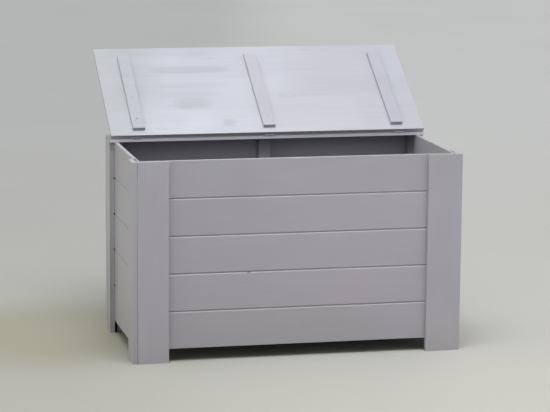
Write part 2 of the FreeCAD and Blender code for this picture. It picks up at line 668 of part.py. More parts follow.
def build_lid(batten_screw, batten_hole, leaf_holes):
    """The lid panel and its battens, drawn closed and turned open."""
    upwards = FreeCAD.Vector(1, 0, 0)
    panel = timber("lid_panel_blank", "Dims.width - 2 * Dims.lid_inset", "Calc.lid_depth", "Dims.lid_thick",
                   "Dims.arris", [0, 1, 2])
    place(panel, "Dims.lid_inset - Dims.width / 2", "-(Dims.edge_gap + Calc.lid_depth)", "-Calc.lid_under")
    all_spots = [spot for side in SIDES for spot in batten_screw_spots(side)]
    screw_holes = copies("lid_batten_holes", batten_hole, all_spots, upwards, "180")
    place_on_lid(bored("lid_panel", panel, leaf_holes, screw_holes))
    for side in SIDES:
        label = f"{side}_lid_batten"
        blank = timber(f"{label}_blank", "Dims.batten_width", "Calc.batten_length", "Dims.batten_thick",
                       "Dims.arris", [1])
        place(blank, f"{batten_x(side)} - Dims.batten_width / 2",
              "-(Calc.batten_back + Calc.batten_length)", "-Calc.batten_under")
        holes = copies(f"{label}_holes", batten_hole, batten_screw_spots(side), upwards, "180")
        place_on_lid(bored(label, blank, holes))
    screws = copies("batten_screws", batten_screw, all_spots, upwards, "180")
    keep(place_on_lid(screws), "batten_screws")


# ---- the whole chest ----------------------------------------------------------------------

leaf_screw, leaf_hole = screw_pair("leaf_screw")
batten_screw, batten_hole = screw_pair("batten_screw")
rail_screw, rail_hole = screw_pair("rail_screw")
floor_nail = turned("one_floor_nail", nail_profile(""))
nail_hole = turned("floor_nail_hole", nail_profile(" + Dims.hole_clearance"))

build_walls()
build_stiles()
build_posts({side: copies(f"{side}_post_holes", rail_hole, rail_screw_spots(side)) for side in SIDES})
build_bearers({side: copies(f"{side}_bearer_holes", nail_hole, nail_spots(side=side)) for side in SIDES})
build_floor(nail_hole)
rail_leaf_holes, lid_leaf_holes = build_hinges(leaf_screw, leaf_hole)
build_rail(rail_hole, rail_leaf_holes)
build_lid(batten_screw, batten_hole, lid_leaf_holes)
rail_spots = [spot for side in SIDES for spot in rail_screw_spots(side)]
keep(copies("rail_screws", rail_screw, rail_spots), "rail_screws")
keep(copies("floor_nails", floor_nail, nail_spots()), "floor_nails")
doc.recompute()

for thing in doc.Objects:
    if "Invalid" in thing.State or "Error" in thing.State:
        raise RuntimeError(f"{thing.Label} failed: {thing.State}")
for label, thing in nodes.items():
    if thing.Shape.isNull() or not thing.Shape.isValid():
        raise RuntimeError(f"{label} has no valid shape")
    if thing.Label != label:
        raise RuntimeError(f"{label} is labelled {thing.Label}")

os.makedirs("parts", exist_ok=True)
for label, thing in nodes.items():
    thing.Shape.exportStep(f"parts/{label}.step")
print(f"{len(nodes)} sub-parts, pin axis at y {calc.pin_y:.3f}, z {calc.pin_z:.3f}")
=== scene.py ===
import functools
import json
import math

import bpy
from mathutils import Euler, Matrix, Vector


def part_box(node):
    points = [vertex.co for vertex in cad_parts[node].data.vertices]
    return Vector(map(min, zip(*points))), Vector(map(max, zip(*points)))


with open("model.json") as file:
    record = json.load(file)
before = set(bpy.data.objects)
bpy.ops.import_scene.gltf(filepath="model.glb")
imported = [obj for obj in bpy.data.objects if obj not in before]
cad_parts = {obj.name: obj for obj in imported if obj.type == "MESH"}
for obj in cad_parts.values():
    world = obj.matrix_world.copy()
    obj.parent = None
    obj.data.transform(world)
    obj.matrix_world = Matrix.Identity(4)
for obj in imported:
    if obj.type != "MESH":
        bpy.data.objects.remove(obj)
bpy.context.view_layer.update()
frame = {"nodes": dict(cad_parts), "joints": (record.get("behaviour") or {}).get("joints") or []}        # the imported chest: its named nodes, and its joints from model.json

# Dresses the chest's nodes in painted wood and steel, and sets up the photo's camera, floor and
# light. It adds no shape to the part.

NODES = frame["nodes"]
HINGE = frame["joints"][0]
PIN = Vector(HINGE["pos_m"])
LID_TURN = math.radians(HINGE["range_deg"][1])     # from open, at rest, to closed

AXES = {"X": 0, "Y": 1, "Z": 2}
WAYS = {"left": (-1, 0, 0), "right": (1, 0, 0), "front": (0, -1, 0), "back": (0, 1, 0), "up": (0, 0, 1)}
MM = 0.001

# Lengths are in metres unless a comment says millimetres. Shades are shares: -0.1 is a tenth
# darker. A change says where on its axis it starts and ends, and then what it is worth at its
# start and end, or 0 and 1 where that is left out.

# ---------------------------------------------------------------- colours (linear)
PAINT = (0.355, 0.337, 0.380)            # satin grey with a touch of purple
PAINT_WORN = (0.60, 0.59, 0.60)          # primer, where the paint has rubbed thin
PAINTED_SHADE_DARK = (0.030, 0.026, 0.024)        # near black: painted shade deep in joints, V-joint ends and a chip, and on bare wood under the stiles
INNER_COAT = (0.390, 0.386, 0.438)       # inside the chest, a thinner and bluer coat
RAIL_EDGE_LIGHT = (0.566, 0.569, 0.641)        # painted light on the rail's front edge, the palest of that coat
LID_COAT = (0.405, 0.411, 0.483)         # under the lid, one thin and pale coat
BATTEN_COATS = {"left": (0.359, 0.371, 0.418),
                "middle": (0.380, 0.378, 0.443),
                "right": (0.357, 0.354, 0.431)}
STEEL = (0.62, 0.62, 0.64)               # zinc on the hinges and nails
STEEL_DULL = (0.34, 0.34, 0.36)          # and its dull spots
STEEL_NEW = (0.85, 0.85, 0.87)           # the right hinge is the brightest
STEEL_OLD = (0.20, 0.20, 0.22)           # and the left one has the dullest spots


# ---------------------------------------------------------------- node graphs
MIX_FACTOR, MIX_A, MIX_B = 0, 6, 7       # the Mix node's inputs for colours
MIX_RESULT = 2                           # and its output
EDGE_FOUND = (0.995, 0.90)               # how the rounded normal agrees with the face's own
FACING = (0.6, 0.9)                      # and how a face's normal agrees with a way
NOISE_RANGE = (0.3, 0.7)                 # where most values of a noise lie


class Graph:
    """Adds nodes to one node tree with short calls."""

    def __init__(self, tree):
        self.tree = tree

    def add(self, kind, inputs=None, **settings):
        """A new shader node, with its inputs by name or number, each a value or a socket."""
        node = self.tree.nodes.new("ShaderNode" + kind)
        for name, value in settings.items():
            setattr(node, name, value)
        for key, value in (inputs or {}).items():
            self.feed(node.inputs[key], value)
        return node

    def feed(self, socket, value):
        if isinstance(value, bpy.types.NodeSocket):
            self.tree.links.new(value, socket)
        else:
            socket.default_value = value

    # numbers
    def math(self, operation, a, b=0.0):
        return self.add("Math", {0: a, 1: b}, operation=operation).outputs[0]

    def plus(self, a, b):
        return self.math("ADD", a, b)

    def times(self, a, b):
        return self.math("MULTIPLY", a, b)

    def total(self, values):
        """The sum of a list of sockets."""
        return functools.reduce(self.plus, values)

    def span(self, value, low, high, to_low=0.0, to_high=1.0):
        """value from low..high, smoothly to to_low..to_high."""
        inputs = {"Value": value, 1: low, 2: high, 3: to_low, 4: to_high}
        return self.add("MapRange", inputs, interpolation_type="SMOOTHSTEP").outputs[0]

    # vectors
    def own_place(self):
        """Where a point is in its piece's own frame, which at rest is the chest's."""
        return self.add("TexCoord").outputs["Object"]

    def own_normal(self):
        """Which way the face looks in that same frame."""
        return self.add("TexCoord").outputs["Normal"]

    def vector(self, operation, *values):
        return self.add("VectorMath", dict(enumerate(values)), operation=operation).outputs

    def dot(self, a, b):
        return self.vector("DOT_PRODUCT", a, b)["Value"]

    def length(self, vector):
        return self.vector("LENGTH", vector)["Value"]

    def part(self, vector, axis):
        """The X, Y or Z of a vector."""
        return self.add("SeparateXYZ", {0: vector}).outputs[AXES[axis]]

    def place(self, vector, move=(0, 0, 0), turn=(0, 0, 0), scale=(1, 1, 1)):
        inputs = {"Vector": vector, "Location": move, "Rotation": turn, "Scale": scale}
        return self.add("Mapping", inputs).outputs[0]

    def noise(self, vector, scale=1.0, detail=2.0, distortion=0.0):
        inputs = {"Vector": vector, "Scale": scale, "Detail": detail, "Distortion": distortion}
        return self.add("TexNoise", inputs).outputs[0]

    # colours
    def mix(self, factor, a, b, blend="MIX"):
        """a where factor is 0, and b, or a blended with b, where it is 1."""
        node = self.add("Mix", {MIX_FACTOR: factor}, data_type="RGBA", blend_type=blend)
        for index, colour in ((MIX_A, a), (MIX_B, b)):
            if not isinstance(colour, bpy.types.NodeSocket):
                colour = (*colour, 1.0)
            self.feed(node.inputs[index], colour)
        return node.outputs[MIX_RESULT]

    def tint(self, colour, tint):
        """colour times tint."""
        return self.mix(1.0, colour, tint, blend="MULTIPLY")

    def brighten(self, colour, amount):
        """colour times (1 + amount)."""
        node = self.add("VectorMath", {0: colour}, operation="SCALE")
        self.feed(node.inputs["Scale"], self.plus(amount, 1.0))
        return node.outputs[0]

    def vary(self, colour, value, low, high, amount):
        """colour, darker by amount where value is low and brighter by it where value is high."""
        return self.brighten(colour, self.span(value, low, high, -amount, amount))

    # relief
    def bump(self, height, distance, before=None):
        node = self.add("Bump", {"Height": height, "Distance": distance, "Strength": 1.0})
        if before is not None:
            self.feed(node.inputs["Normal"], before)
        return node.outputs[0]

    def edges(self, radius):
        """1 on the sharp and rounded edges of the piece, 0 on its faces."""
        rounded = self.add("Bevel", {"Radius": radius}, samples=4).outputs[0]
        flat = self.add("NewGeometry").outputs["Normal"]
        return self.span(self.dot(rounded, flat), *EDGE_FOUND)


class Finish(Graph):
    """The node tree of a new material, with its shader at hand."""

    def __init__(self, name):
        self.material = bpy.data.materials.new(name)
        self.material.use_nodes = True
        super().__init__(self.material.node_tree)
        self.shader = next(n for n in self.tree.nodes if n.type == "BSDF_PRINCIPLED")

    def set(self, name, value):
        self.feed(self.shader.inputs[name], value)


# ---------------------------------------------------------------- timber under paint
BRUSH = 430.0             # brush hairs across the grain, per metre
BRUSH_ALONG = 7.0
BRUSH_RANGE = (0.2, 0.8)          # where most values of its noise lie
FIGURE = 13.0             # the wood's figure across the grain, per metre
FIGURE_ALONG = 0.9
FIGURE_WAVE = 0.35
RINGS = 9.0               # growth lines in one step of the figure
KNOT_CELL = 3.4           # knots' cells per metre along the grain
KNOT_CELL_ACROSS = 7.0
KNOT_CHOSEN = (0.52, 0.56)        # a cell whose random colour lies above this has a knot
KNOT_EDGE = (0.085, 0.045)        # from a knot's rim to its heart, in parts of a cell
MOTTLE = 3.1              # blotches per metre
MOTTLE_RANGE = (0.25, 0.75)
HUE = 1.7                 # changes between the two greys, per metre
WARM = (1.012, 0.995, 0.990)
COOL = (0.985, 1.005, 1.005)
MOTTLE_SHADE = 0.02       # how much each layer shades the paint
BRUSH_SHADE = 0.004
RINGS_SHADE = 0.006
KNOT_SHADE = -0.03
SATIN = (0.42, 0.50)      # roughness, from one end of the mottling to the other
SATIN_RUBBED = 0.2        # and how much rougher the worn places are
SATIN_SPECULAR = 0.42
BRUSH_RELIEF = 0.000007   # how high each layer stands
RINGS_RELIEF = 0.00002
KNOTS_RELIEF = 0.0001


def stretched(graph, place, grain, face, along, across, flat=False):
    """place scaled for a texture that runs along the grain. flat leaves out the face's depth."""
    scale = [across, across, across]
    scale[AXES[grain]] = along
    if flat:
        scale[AXES[face]] = 0.0
    return graph.place(place, scale=scale)


def wood_layers(graph, place, grain, face):
    """The sockets that all painted timber shares: brush marks, figure, knots and mottling."""
    brush_place = stretched(graph, place, grain, face, BRUSH_ALONG, BRUSH)
    figure_place = stretched(graph, place, grain, face, FIGURE_ALONG, FIGURE)
    figure = graph.noise(figure_place, detail=1.5, distortion=FIGURE_WAVE)
    cells = stretched(graph, place, grain, face, KNOT_CELL, KNOT_CELL_ACROSS, flat=True)
    voronoi = graph.add("TexVoronoi", {"Vector": cells, "Scale": 1.0}, feature="F1").outputs
    chosen = graph.span(voronoi["Color"], *KNOT_CHOSEN)
    return {"brush": graph.noise(brush_place, detail=1.0),
            "rings": graph.math("SINE", graph.times(figure, RINGS * math.tau)),
            "knots": graph.times(chosen, graph.span(voronoi["Distance"], *KNOT_EDGE)),
            "mottle": graph.noise(place, scale=MOTTLE, detail=2.0)}


def paint_colour(graph, place, layers, paint):
    """The paint's own colour: two slightly different greys, mottled, with faint brush marks."""
    hue = graph.span(graph.noise(place, scale=HUE, detail=1.0), *NOISE_RANGE)
    colour = graph.tint(paint, graph.mix(hue, WARM, COOL))
    colour = graph.vary(colour, layers["mottle"], *MOTTLE_RANGE, MOTTLE_SHADE)
    colour = graph.vary(colour, layers["brush"], *BRUSH_RANGE, BRUSH_SHADE)
    colour = graph.vary(colour, layers["rings"], -1.0, 1.0, RINGS_SHADE)
    return graph.brighten(colour, graph.times(layers["knots"], KNOT_SHADE))


def satin(graph, layers, wear):
    """Sets the roughness of satin paint, and gives its relief: brush marks over grain and knots."""
    rough = graph.span(layers["mottle"], *MOTTLE_RANGE, *SATIN)
    graph.set("Roughness", graph.plus(rough, graph.times(wear, SATIN_RUBBED)))
    graph.set("Specular IOR Level", SATIN_SPECULAR)
    normal = graph.bump(layers["brush"], BRUSH_RELIEF)
    normal = graph.bump(layers["rings"], RINGS_RELIEF, normal)
    return graph.bump(layers["knots"], KNOTS_RELIEF, normal)


# ---------------------------------------------------------------- wear, and painted shade, on the chest
# Spots: middle, half size, depth
RUBBED = {"front_board_5": [((0.0, -0.4387, 0.7195), (0.026, 0.008, 0.004), 0.35)],
          "left_board_2": [((-0.580, -0.1600, 0.1830), (0.005, 0.260, 0.004), 0.22)]}
# a real chip in a board's edge, with the shade in its dent painted near black
CHIPS = {"front_board_2": [((-0.1800, -0.4432, 0.3122), (0.0062, 0.0040, 0.0034), 0.55)]}
SPOT_SOFT = 0.4           # how soft a spot's edge is, as a share of its size
EDGE_RADIUS = 0.0012      # how wide the rubbed edges are
EDGE_WEAR = 0.5
EDGE_BREAKS = 19.0        # gaps in the rubbed edges, per metre
EDGE_RUBBED = (0.50, 0.66)        # the noise that makes the gaps: painted, and rubbed
JOINT_ENDS = (0.1832, 0.3190, 0.4520, 0.5842)      # heights of the V-joints' ends, whose tunnels under the rear stiles get painted shade
JOINT_END_HALF = (0.0022, 0.0034, 0.0034)
JOINT_END_REACH = 0.002   # an end this near a piece marks it too
SIDE_FACES = {"left": -0.5837, "right": 0.5837}    # where that painted shade lies on the side walls
# Each wall: the axis across it, its outward sign, the axis along it, and the two stiles over it
WALLS = {"left": ("X", -1, "Y", "left_front_stile", "left_back_stile"),
         "right": ("X", 1, "Y", "right_front_stile", "right_back_stile"),
         "front": ("Y", -1, "X", "front_left_stile", "front_right_stile"),
         "back": ("Y", 1, "X", "back_left_stile", "back_right_stile")}
SKIN_START = 0.0056       # a board's face and chamfers lie above these depths
SKIN_END = 0.0048
PAINT_CREEP = 0.0005      # how far the paint has crept under a stile's edge
CREEP_FADE = 0.001
# Each corner's shorter stile, the stile across its end, and the joint's axis and side
SEAMS = [("front_left_stile", "left_front_stile", "X", 0),
         ("right_front_stile", "front_right_stile", "Y", 0),
         ("back_right_stile", "right_back_stile", "X", 1),
         ("left_back_stile", "back_left_stile", "Y", 1)]
SEAM_EDGE = (0.0013, 0.0007)      # from clean paint to the full dark of the line, from its middle
# How dark the line's painted shade is at each height: these changes are added up
SEAM_DEPTHS = [(0.60, 0.20, 0.08, 0.46), (0.64, 0.69, 0.0, 0.38), (0.24, 0.06, 0.0, 0.26)]
SEAM_STRETCH = (1, 1, 5)
SEAM_BROKEN = (0.38, 0.60, 0.7, 1.25)     # and the noise that breaks it up
# V-joints: how far their faces look up, and the painted light and shade on them
CHAMFER_UP = (0.5, 0.65)
LEVEL_UP = (0.95, 0.85)
CHAMFER_DOWN = (-0.5, -0.65)
CHAMFER_HIGHLIGHT = 0.22               # painted highlight on the faces that look up, and painted shade on them on the left wall
CHAMFER_LEFT_SHADE = -0.07
CHAMFER_SHADE = -0.18              # painted shade on the faces that look down


def looks(graph, way):
    """1 on the faces that look that way, 0 on the others."""
    return graph.span(graph.dot(graph.own_normal(), WAYS[way]), *FACING)


def spot(graph, place, middle, half):
    """1 inside a soft-edged oval body, 0 outside it."""
    move = tuple(-m / h for m, h in zip(middle, half))
    away = graph.place(place, move=move, scale=tuple(1 / h for h in half))
    return graph.span(graph.length(away), 1 + SPOT_SOFT, 1 - SPOT_SOFT)


def wear_of(graph, own, place, name):
    """How far the paint is rubbed away, along every edge and in the spots of RUBBED."""
    rub = graph.span(graph.noise(place, scale=EDGE_BREAKS, detail=3.0), *EDGE_RUBBED)
    wear = graph.times(graph.edges(EDGE_RADIUS), graph.times(rub, EDGE_WEAR))
    for middle, half, depth in RUBBED.get(name, []):
        wear = graph.math("MAXIMUM", wear, graph.times(spot(graph, own, middle, half), depth))
    return wear


def dark_spots(name):
    """Painted shade in a chip's dent and in the V-joints' ends at the rear stiles: middle, half size,
    depth.
    """
    spots = list(CHIPS.get(name, []))
    low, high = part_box(name)
    for wall, face in SIDE_FACES.items():
        if name.startswith(wall + "_board") or name == wall + "_back_stile":
            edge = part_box(wall + "_back_stile")[0][1]
            for z in JOINT_ENDS:
                if low[2] - JOINT_END_REACH < z < high[2] + JOINT_END_REACH:
                    spots.append(((face, edge, z), JOINT_END_HALF, 1.0))
    return spots


def seam_lines(graph, place, name):
    """How dark the painted shade in each corner joint beside a stile is, broken up along its height."""
    lines = []
    for short, across, axis, side in SEAMS:
        if name in (short, across):
            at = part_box(short)[side][AXES[axis]]
            off = graph.math("ABSOLUTE", graph.math("SUBTRACT", graph.part(place, axis), at))
            height = graph.part(place, "Z")
            breaks = graph.noise(graph.place(place, scale=SEAM_STRETCH), detail=2.0)
            depth = graph.total([graph.span(height, *change) for change in SEAM_DEPTHS])
            depth = graph.times(depth, graph.span(breaks, *SEAM_BROKEN))
            lines.append(graph.times(graph.span(off, *SEAM_EDGE), depth))
    return lines


def under_stiles(graph, place, node):
    """A list of 1 where a stile covers a wall board's face, bare and in painted shade, or [] for other
    pieces.
    """
    wall, kind = node.split("_")[:2]
    if kind != "board" or wall not in WALLS:
        return []
    out, sign, along, first, second = WALLS[wall]
    low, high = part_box(node)
    face = sign * (low if sign < 0 else high)[AXES[out]]
    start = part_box(first)[1][AXES[along]] - PAINT_CREEP
    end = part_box(second)[0][AXES[along]] + PAINT_CREEP
    outward = graph.times(graph.part(place, out), sign)
    skin = graph.span(outward, face - SKIN_START, face - SKIN_END)
    lengthwise = graph.part(place, along)
    before = graph.span(lengthwise, start, start - CREEP_FADE)
    after = graph.span(lengthwise, end, end + CREEP_FADE)
    return [graph.times(skin, graph.plus(before, after))]


def darkened(graph, own, name, colour):
    """colour with near-black painted shade in chips, V-joint ends, corner joints and under stiles."""
    dark = [graph.times(spot(graph, own, middle, half), depth)
            for middle, half, depth in dark_spots(name)]
    # each share mixes near-black painted shade into the paint
    for amount in dark + seam_lines(graph, own, name) + under_stiles(graph, own, name):
        colour = graph.mix(amount, colour, PAINTED_SHADE_DARK)
    return colour


def joint_tone(graph, name, colour):
    """The V-joints: painted shade on the upper board's chamfer, a painted highlight on the lower one's.
    """
    if "_board_" not in name or name.startswith("floor"):
        return colour
    up = graph.part(graph.own_normal(), "Z")
    lit = graph.times(graph.span(up, *CHAMFER_UP), graph.span(up, *LEVEL_UP))
    chamfer_light = CHAMFER_LEFT_SHADE if name.startswith("left") else CHAMFER_HIGHLIGHT
    colour = graph.brighten(colour, graph.times(lit, chamfer_light))
    return graph.brighten(colour, graph.span(up, *CHAMFER_DOWN, 0.0, CHAMFER_SHADE))


# ---------------------------------------------------------------- the chest's paint, with painted light and shade
# The boards that have the inner coat, and the way their inner side looks
INWARD = {"left_board": "right", "right_board": "left", "front_board": "back", "back_board": "front"}
# The inner posts, and the painted light (above 0) and shade (below 0) on their side faces against their
# front
INNER_POST_SIDE_LIGHT = {"back_left_post": 0.0, "back_middle_post": -0.12, "back_right_post": 0.26}
# Painted shade and light on the inner coat: the start of the name, the axis, the change
INNER_PAINTED_LIGHT = [
    ("back_middle_post", "Z", (0.63, 0.71, -0.18, -0.44)),
    ("back_right_post", "Z", (0.60, 0.70, -0.42, -0.60)),
    ("back_right_post", "X", (0.549, 0.569, -0.20, 0.28)),
    ("back_board", "Z", (0.640, 0.705, 0.02, -0.34)),
    ("back_board", "X", (0.26, 0.44, 0.0, -0.12)),
    ("back_board", "X", (0.50, 0.560, 0.0, -0.06)),
]
MIDDLE_POST_AT = -0.010                  # the middle post's X
BESIDE_POST_LIGHT = (0.03, 0.10, 0.14, 0.0)  # painted light on the back boards near that post, fading away from it
RIGHT_INNER_SHADE = -0.06                      # painted shade on the right boards' inner side
LEFT_SIDE_LIGHT = (1.05, 1.075, 1.04)          # painted light on the left side's paint: a touch brighter and greener
LOW_LEFT_LIGHT = (0.947, 0.885, 0.852)           # and painted floor bounce and shade on that side near the floor: darker and yellower
LOW_LEFT_HEIGHTS = (0.42, 0.02)               # heights where that starts and is complete
REAR_STILE_SHADE = -0.10                        # painted shade on the left boards in front of the rear stile,
REAR_SHADE_START = 0.17                   # and how far from the stile it starts and is complete
REAR_SHADE_END = 0.03
REAR_LIGHT_HEIGHTS = (0.15, 0.45)              # heights over which the left rear stile takes on the left side's greener painted light
REAR_LOW_SHADE = (0.44, 0.10, 0.0, -0.10)   # and down which painted shade makes it duller
REAR_EDGE_LIGHT = (-0.07, 0.12)                # painted shade and light across its front edge, from outside inwards
REAR_EDGE_START = 0.001
STILE_FOOT = (0.36, 0.04)                # heights over which the front stiles' painted light and shade change
# and that painted light (above 0) and shade (below 0) at the top and at the foot
FRONT_STILE_LIGHT = {"front_left_stile": (0.03, 0.06), "front_right_stile": (-0.03, 0.05)}
NOOK_START = (0.0285, 0.0305)            # along Y, the rail's top that the open lid leans over
NOOK_END = (0.062, 0.040)
NOOK_PAINTED_SHADE = (-0.35, -0.15, -0.30, -0.38)     # painted shade there, along X


def inner_coat(graph, own, name, tone):
    """The coat inside the chest, with painted shade under the rail and to the right, and painted light
    by the middle post.
    """
    coat = graph.brighten(INNER_COAT, tone - 1)
    for start, axis, change in INNER_PAINTED_LIGHT:
        if name.startswith(start):
            coat = graph.brighten(coat, graph.span(graph.part(own, axis), *change))
    if name.startswith("back_board"):
        from_post = graph.math("ABSOLUTE", graph.plus(graph.part(own, "X"), -MIDDLE_POST_AT))
        coat = graph.brighten(coat, graph.span(from_post, *BESIDE_POST_LIGHT))
    if name.startswith("right_board"):
        coat = graph.brighten(coat, RIGHT_INNER_SHADE)
    return coat


def left_paint(graph, own, name, colour):
    """The left side in greener painted light, darker and yellower near the floor, with painted shade in
    front of its rear stile.
    """
    outward = looks(graph, "left")
    colour = graph.mix(outward, colour, graph.tint(colour, LEFT_SIDE_LIGHT))
    low_light = graph.times(graph.span(graph.part(own, "Z"), *LOW_LEFT_HEIGHTS), outward)
    colour = graph.mix(low_light, colour, graph.tint(colour, LOW_LEFT_LIGHT))
    if "_board_" in name:
        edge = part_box("left_back_stile")[0][1]
        start, end = edge - REAR_SHADE_START, edge - REAR_SHADE_END
        stile_shade = graph.span(graph.part(own, "Y"), start, end, 0.0, REAR_STILE_SHADE)
        colour = graph.brighten(colour, graph.times(outward, stile_shade))
    return colour


def left_rear_stile_paint(graph, own, colour):
    """The left side's rear stile: greener painted light above, painted shade below, and painted shade
    to light across its front edge.
    """
    height = graph.part(own, "Z")
    colour = graph.mix(graph.span(height, *REAR_LIGHT_HEIGHTS), colour, graph.tint(colour, LEFT_SIDE_LIGHT))
    colour = graph.brighten(colour, graph.span(height, *REAR_LOW_SHADE))
    low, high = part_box("left_back_stile")
    edge = graph.span(graph.part(own, "X"), low[0] + REAR_EDGE_START, high[0], *REAR_EDGE_LIGHT)
    return graph.brighten(colour, graph.times(looks(graph, "front"), edge))


def rail_paint(graph, own, colour):
    """The rail: painted shade in the nook under the open lid, painted light along its front edge."""
    deep = graph.part(own, "Y")
    nook = graph.times(looks(graph, "up"), graph.span(deep, *NOOK_START))
    nook = graph.times(nook, graph.span(deep, *NOOK_END))
    shade = graph.span(graph.part(own, "X"), *NOOK_PAINTED_SHADE)
    colour = graph.brighten(colour, graph.times(nook, shade))
    return graph.mix(looks(graph, "front"), colour, RAIL_EDGE_LIGHT)


def base_paint(graph, own, name, colour, tone):
    """The paint's colour, with the thin coat on what looks into the chest, and painted light and shade
    on the rail, inside, on the left side and on the front stiles.
    """
    if name == "hinge_rail":
        return rail_paint(graph, own, colour)
    if name in INNER_POST_SIDE_LIGHT:
        sides = graph.span(looks(graph, "front"), 0.0, 1.0, INNER_POST_SIDE_LIGHT[name], 0.0)
        return graph.brighten(inner_coat(graph, own, name, tone), sides)
    if name.startswith("left"):
        colour = left_paint(graph, own, name, colour)
    if name == "left_back_stile":
        colour = left_rear_stile_paint(graph, own, colour)
    if name in FRONT_STILE_LIGHT:
        # painted light and shade on the front stiles, by height
        foot = graph.span(graph.part(own, "Z"), *STILE_FOOT, *FRONT_STILE_LIGHT[name])
        colour = graph.brighten(colour, foot)
    for start, way in INWARD.items():
        if name.startswith(start):
            colour = graph.mix(looks(graph, way), colour, inner_coat(graph, own, name, tone))
    return colour


def painted(name, grain, face, shift, tone):
    """Satin paint on timber, rubbed along its edges, with painted light and shade, and bare in
    near-black painted shade where another piece covers it.
    """
    graph = Finish("paint_" + name)
    own = graph.own_place()
    place = graph.place(own, move=shift)
    layers = wood_layers(graph, place, grain, face)
    wear = wear_of(graph, own, place, name)
    colour = base_paint(graph, own, name, tuple(c * tone for c in PAINT), tone)
    colour = joint_tone(graph, name, paint_colour(graph, place, layers, colour))
    colour = graph.mix(wear, colour, PAINT_WORN)
    graph.set("Base Color", darkened(graph, own, name, colour))
    graph.set("Normal", satin(graph, layers, wear))
    return graph.material


# ---------------------------------------------------------------- the lid's underside
# Marks on the photographed lid, in millimetres: x along the hinge and s from its pin, half the
# length and half the width, and how much darker (or, negative, lighter) the coat is there.
LID_STREAKS = [
    (-245, 379, 138, 19, 0.125),
    (-245, 286, 128, 17, 0.045),
    (-260, 230, 110, 17, 0.05),
    (165, 156, 54, 10, 0.03),
    (200, 372, 170, 13, 0.02),
    (-407, 56, 60, 3, -0.03),
]
LID_SMEARS = [
    (-264, 176, 57, 30, 0.135),
    (-340, 512, 190, 46, 0.065),
    (-150, 90, 140, 42, -0.04),
    (-368, 70, 55, 42, 0.04),
    (402, 105, 34, 95, 0.035),
    (-330, 160, 52, 18, 0.035),
    (-197, 482, 40, 9, 0.04),
    (75, 300, 42, 75, -0.035),
    (110, 214, 30, 15, 0.05),
    (195, 216, 45, 9, 0.035),
    (-141, 62, 20, 20, 0.13),
    (-226, 460, 38, 12, 0.03),
    (-8, 442, 20, 16, 0.035),
    (232, 494, 12, 8, 0.04),
]
# Knots: x, s, half width
LID_KNOTS = [(-153, 447, 12), (301, 484, 12), (79, 214, 15), (123, 237, 9), (176, 208, 9)]
# Where the coat leans to another shade: x, s, half length, half width, shade
LID_SHADES = [
    (-560, 300, 130, 340, (0.364, 0.372, 0.413)),
    (-220, 60, 190, 110, (0.434, 0.450, 0.524)),
    (-60, 120, 110, 150, (0.421, 0.431, 0.500)),
    (420, 290, 210, 380, (0.374, 0.372, 0.438)),
    (235, 95, 200, 100, (0.411, 0.408, 0.479)),
    (546, 306, 14, 130, (0.368, 0.388, 0.449)),
]
# Screw heads whose filler has sunk: x, s, how much darker, and the dimples' half size
SCREW_DIMPLES = [(-490, 81, 0.62), (-490, 204, 0.20), (-490, 327, 0.20)]
DIMPLE_HALF = 12
# How far a mark's edge is pushed about along and across the grain, in metres again
DRIFT = (0.12, 0.05)
TORN = (0.075, 0.006)
ROUGH = (0.045, 0.010)
WAVY = (0.012, 0.004)
RAGGED_STRETCH = (9, 70, 70)
NO_PUSH = (0.5, 0.5, 0.5)         # the noise's middle
# How soft marks are, as a share of their size
SHADE_SOFT = 0.85
STREAK_SOFT = 0.28
SMEAR_SOFT = 0.5
DIMPLE_SOFT = 0.1
# Grain of the thin coat: how the noise is stretched, and how much it shades
STAVES = (0.8, 11, 11)
STAVES_SHADE = 0.022
FIBRES = (3.5, 95, 95)
FIBRES_SHADE = 0.016
COAT_MOTTLE = 0.015
STAIN_GRAIN = (5, 160, 160)       # streaks and smears are uneven along the grain
STAIN_UNEVEN = (0.3, 0.7, 0.75, 1.2)
# Knots, in parts of their size from the middle
KNOT_LONG = 1.3           # their length against their width
KNOT_HEART = (0.9, 0.25, 0.0, 0.55)
KNOT_RINGS = 9.0
KNOT_RINGS_FADE = (1.9, 0.7, 0.0, 0.30)
KNOT_STAIN = 0.11         # how much a knot darkens the coat
LID_KNOT_RELIEF = 0.00012
# Where one batten's filler colour gives way to the next one's, along X
LEFT_TO_MIDDLE = (-0.3, -0.2)
MIDDLE_TO_RIGHT = (0.2, 0.3)
FACING_DOWN = (-0.6, -0.9)


def lid_place(graph):
    """A point of the lid as if it were closed: X along the hinge, minus Y from the pin to the front."""
    turn = Matrix.Rotation(LID_TURN, 3, "X")
    return graph.place(graph.own_place(), move=-(turn @ PIN), turn=(LID_TURN, 0, 0))


def underside(graph):
    """1 on the faces that look down when the lid is closed, 0 elsewhere."""
    normal = graph.place(graph.own_normal(), turn=(LID_TURN, 0, 0))
    return graph.span(graph.part(normal, "Z"), *FACING_DOWN)


def from_middle(graph, place, x, s, half_x, half_s):
    """How far a point lies from a mark's middle, as a vector that is 1 long at the mark's edge."""
    scale = (1 / MM / half_x, 1 / MM / half_s, 0)
    return graph.place(place, move=(-x / half_x, s / half_s, 0), scale=scale)


def patch(graph, place, x, s, half_x, half_s, soft):
    """1 inside a soft-edged, slightly squared oval, 0 outside it."""
    away = from_middle(graph, place, x, s, half_x, half_s)
    reach = graph.length(graph.vector("MULTIPLY", away, away)["Vector"])
    return graph.span(reach, (1 + soft) ** 2, (1 - soft) ** 2)


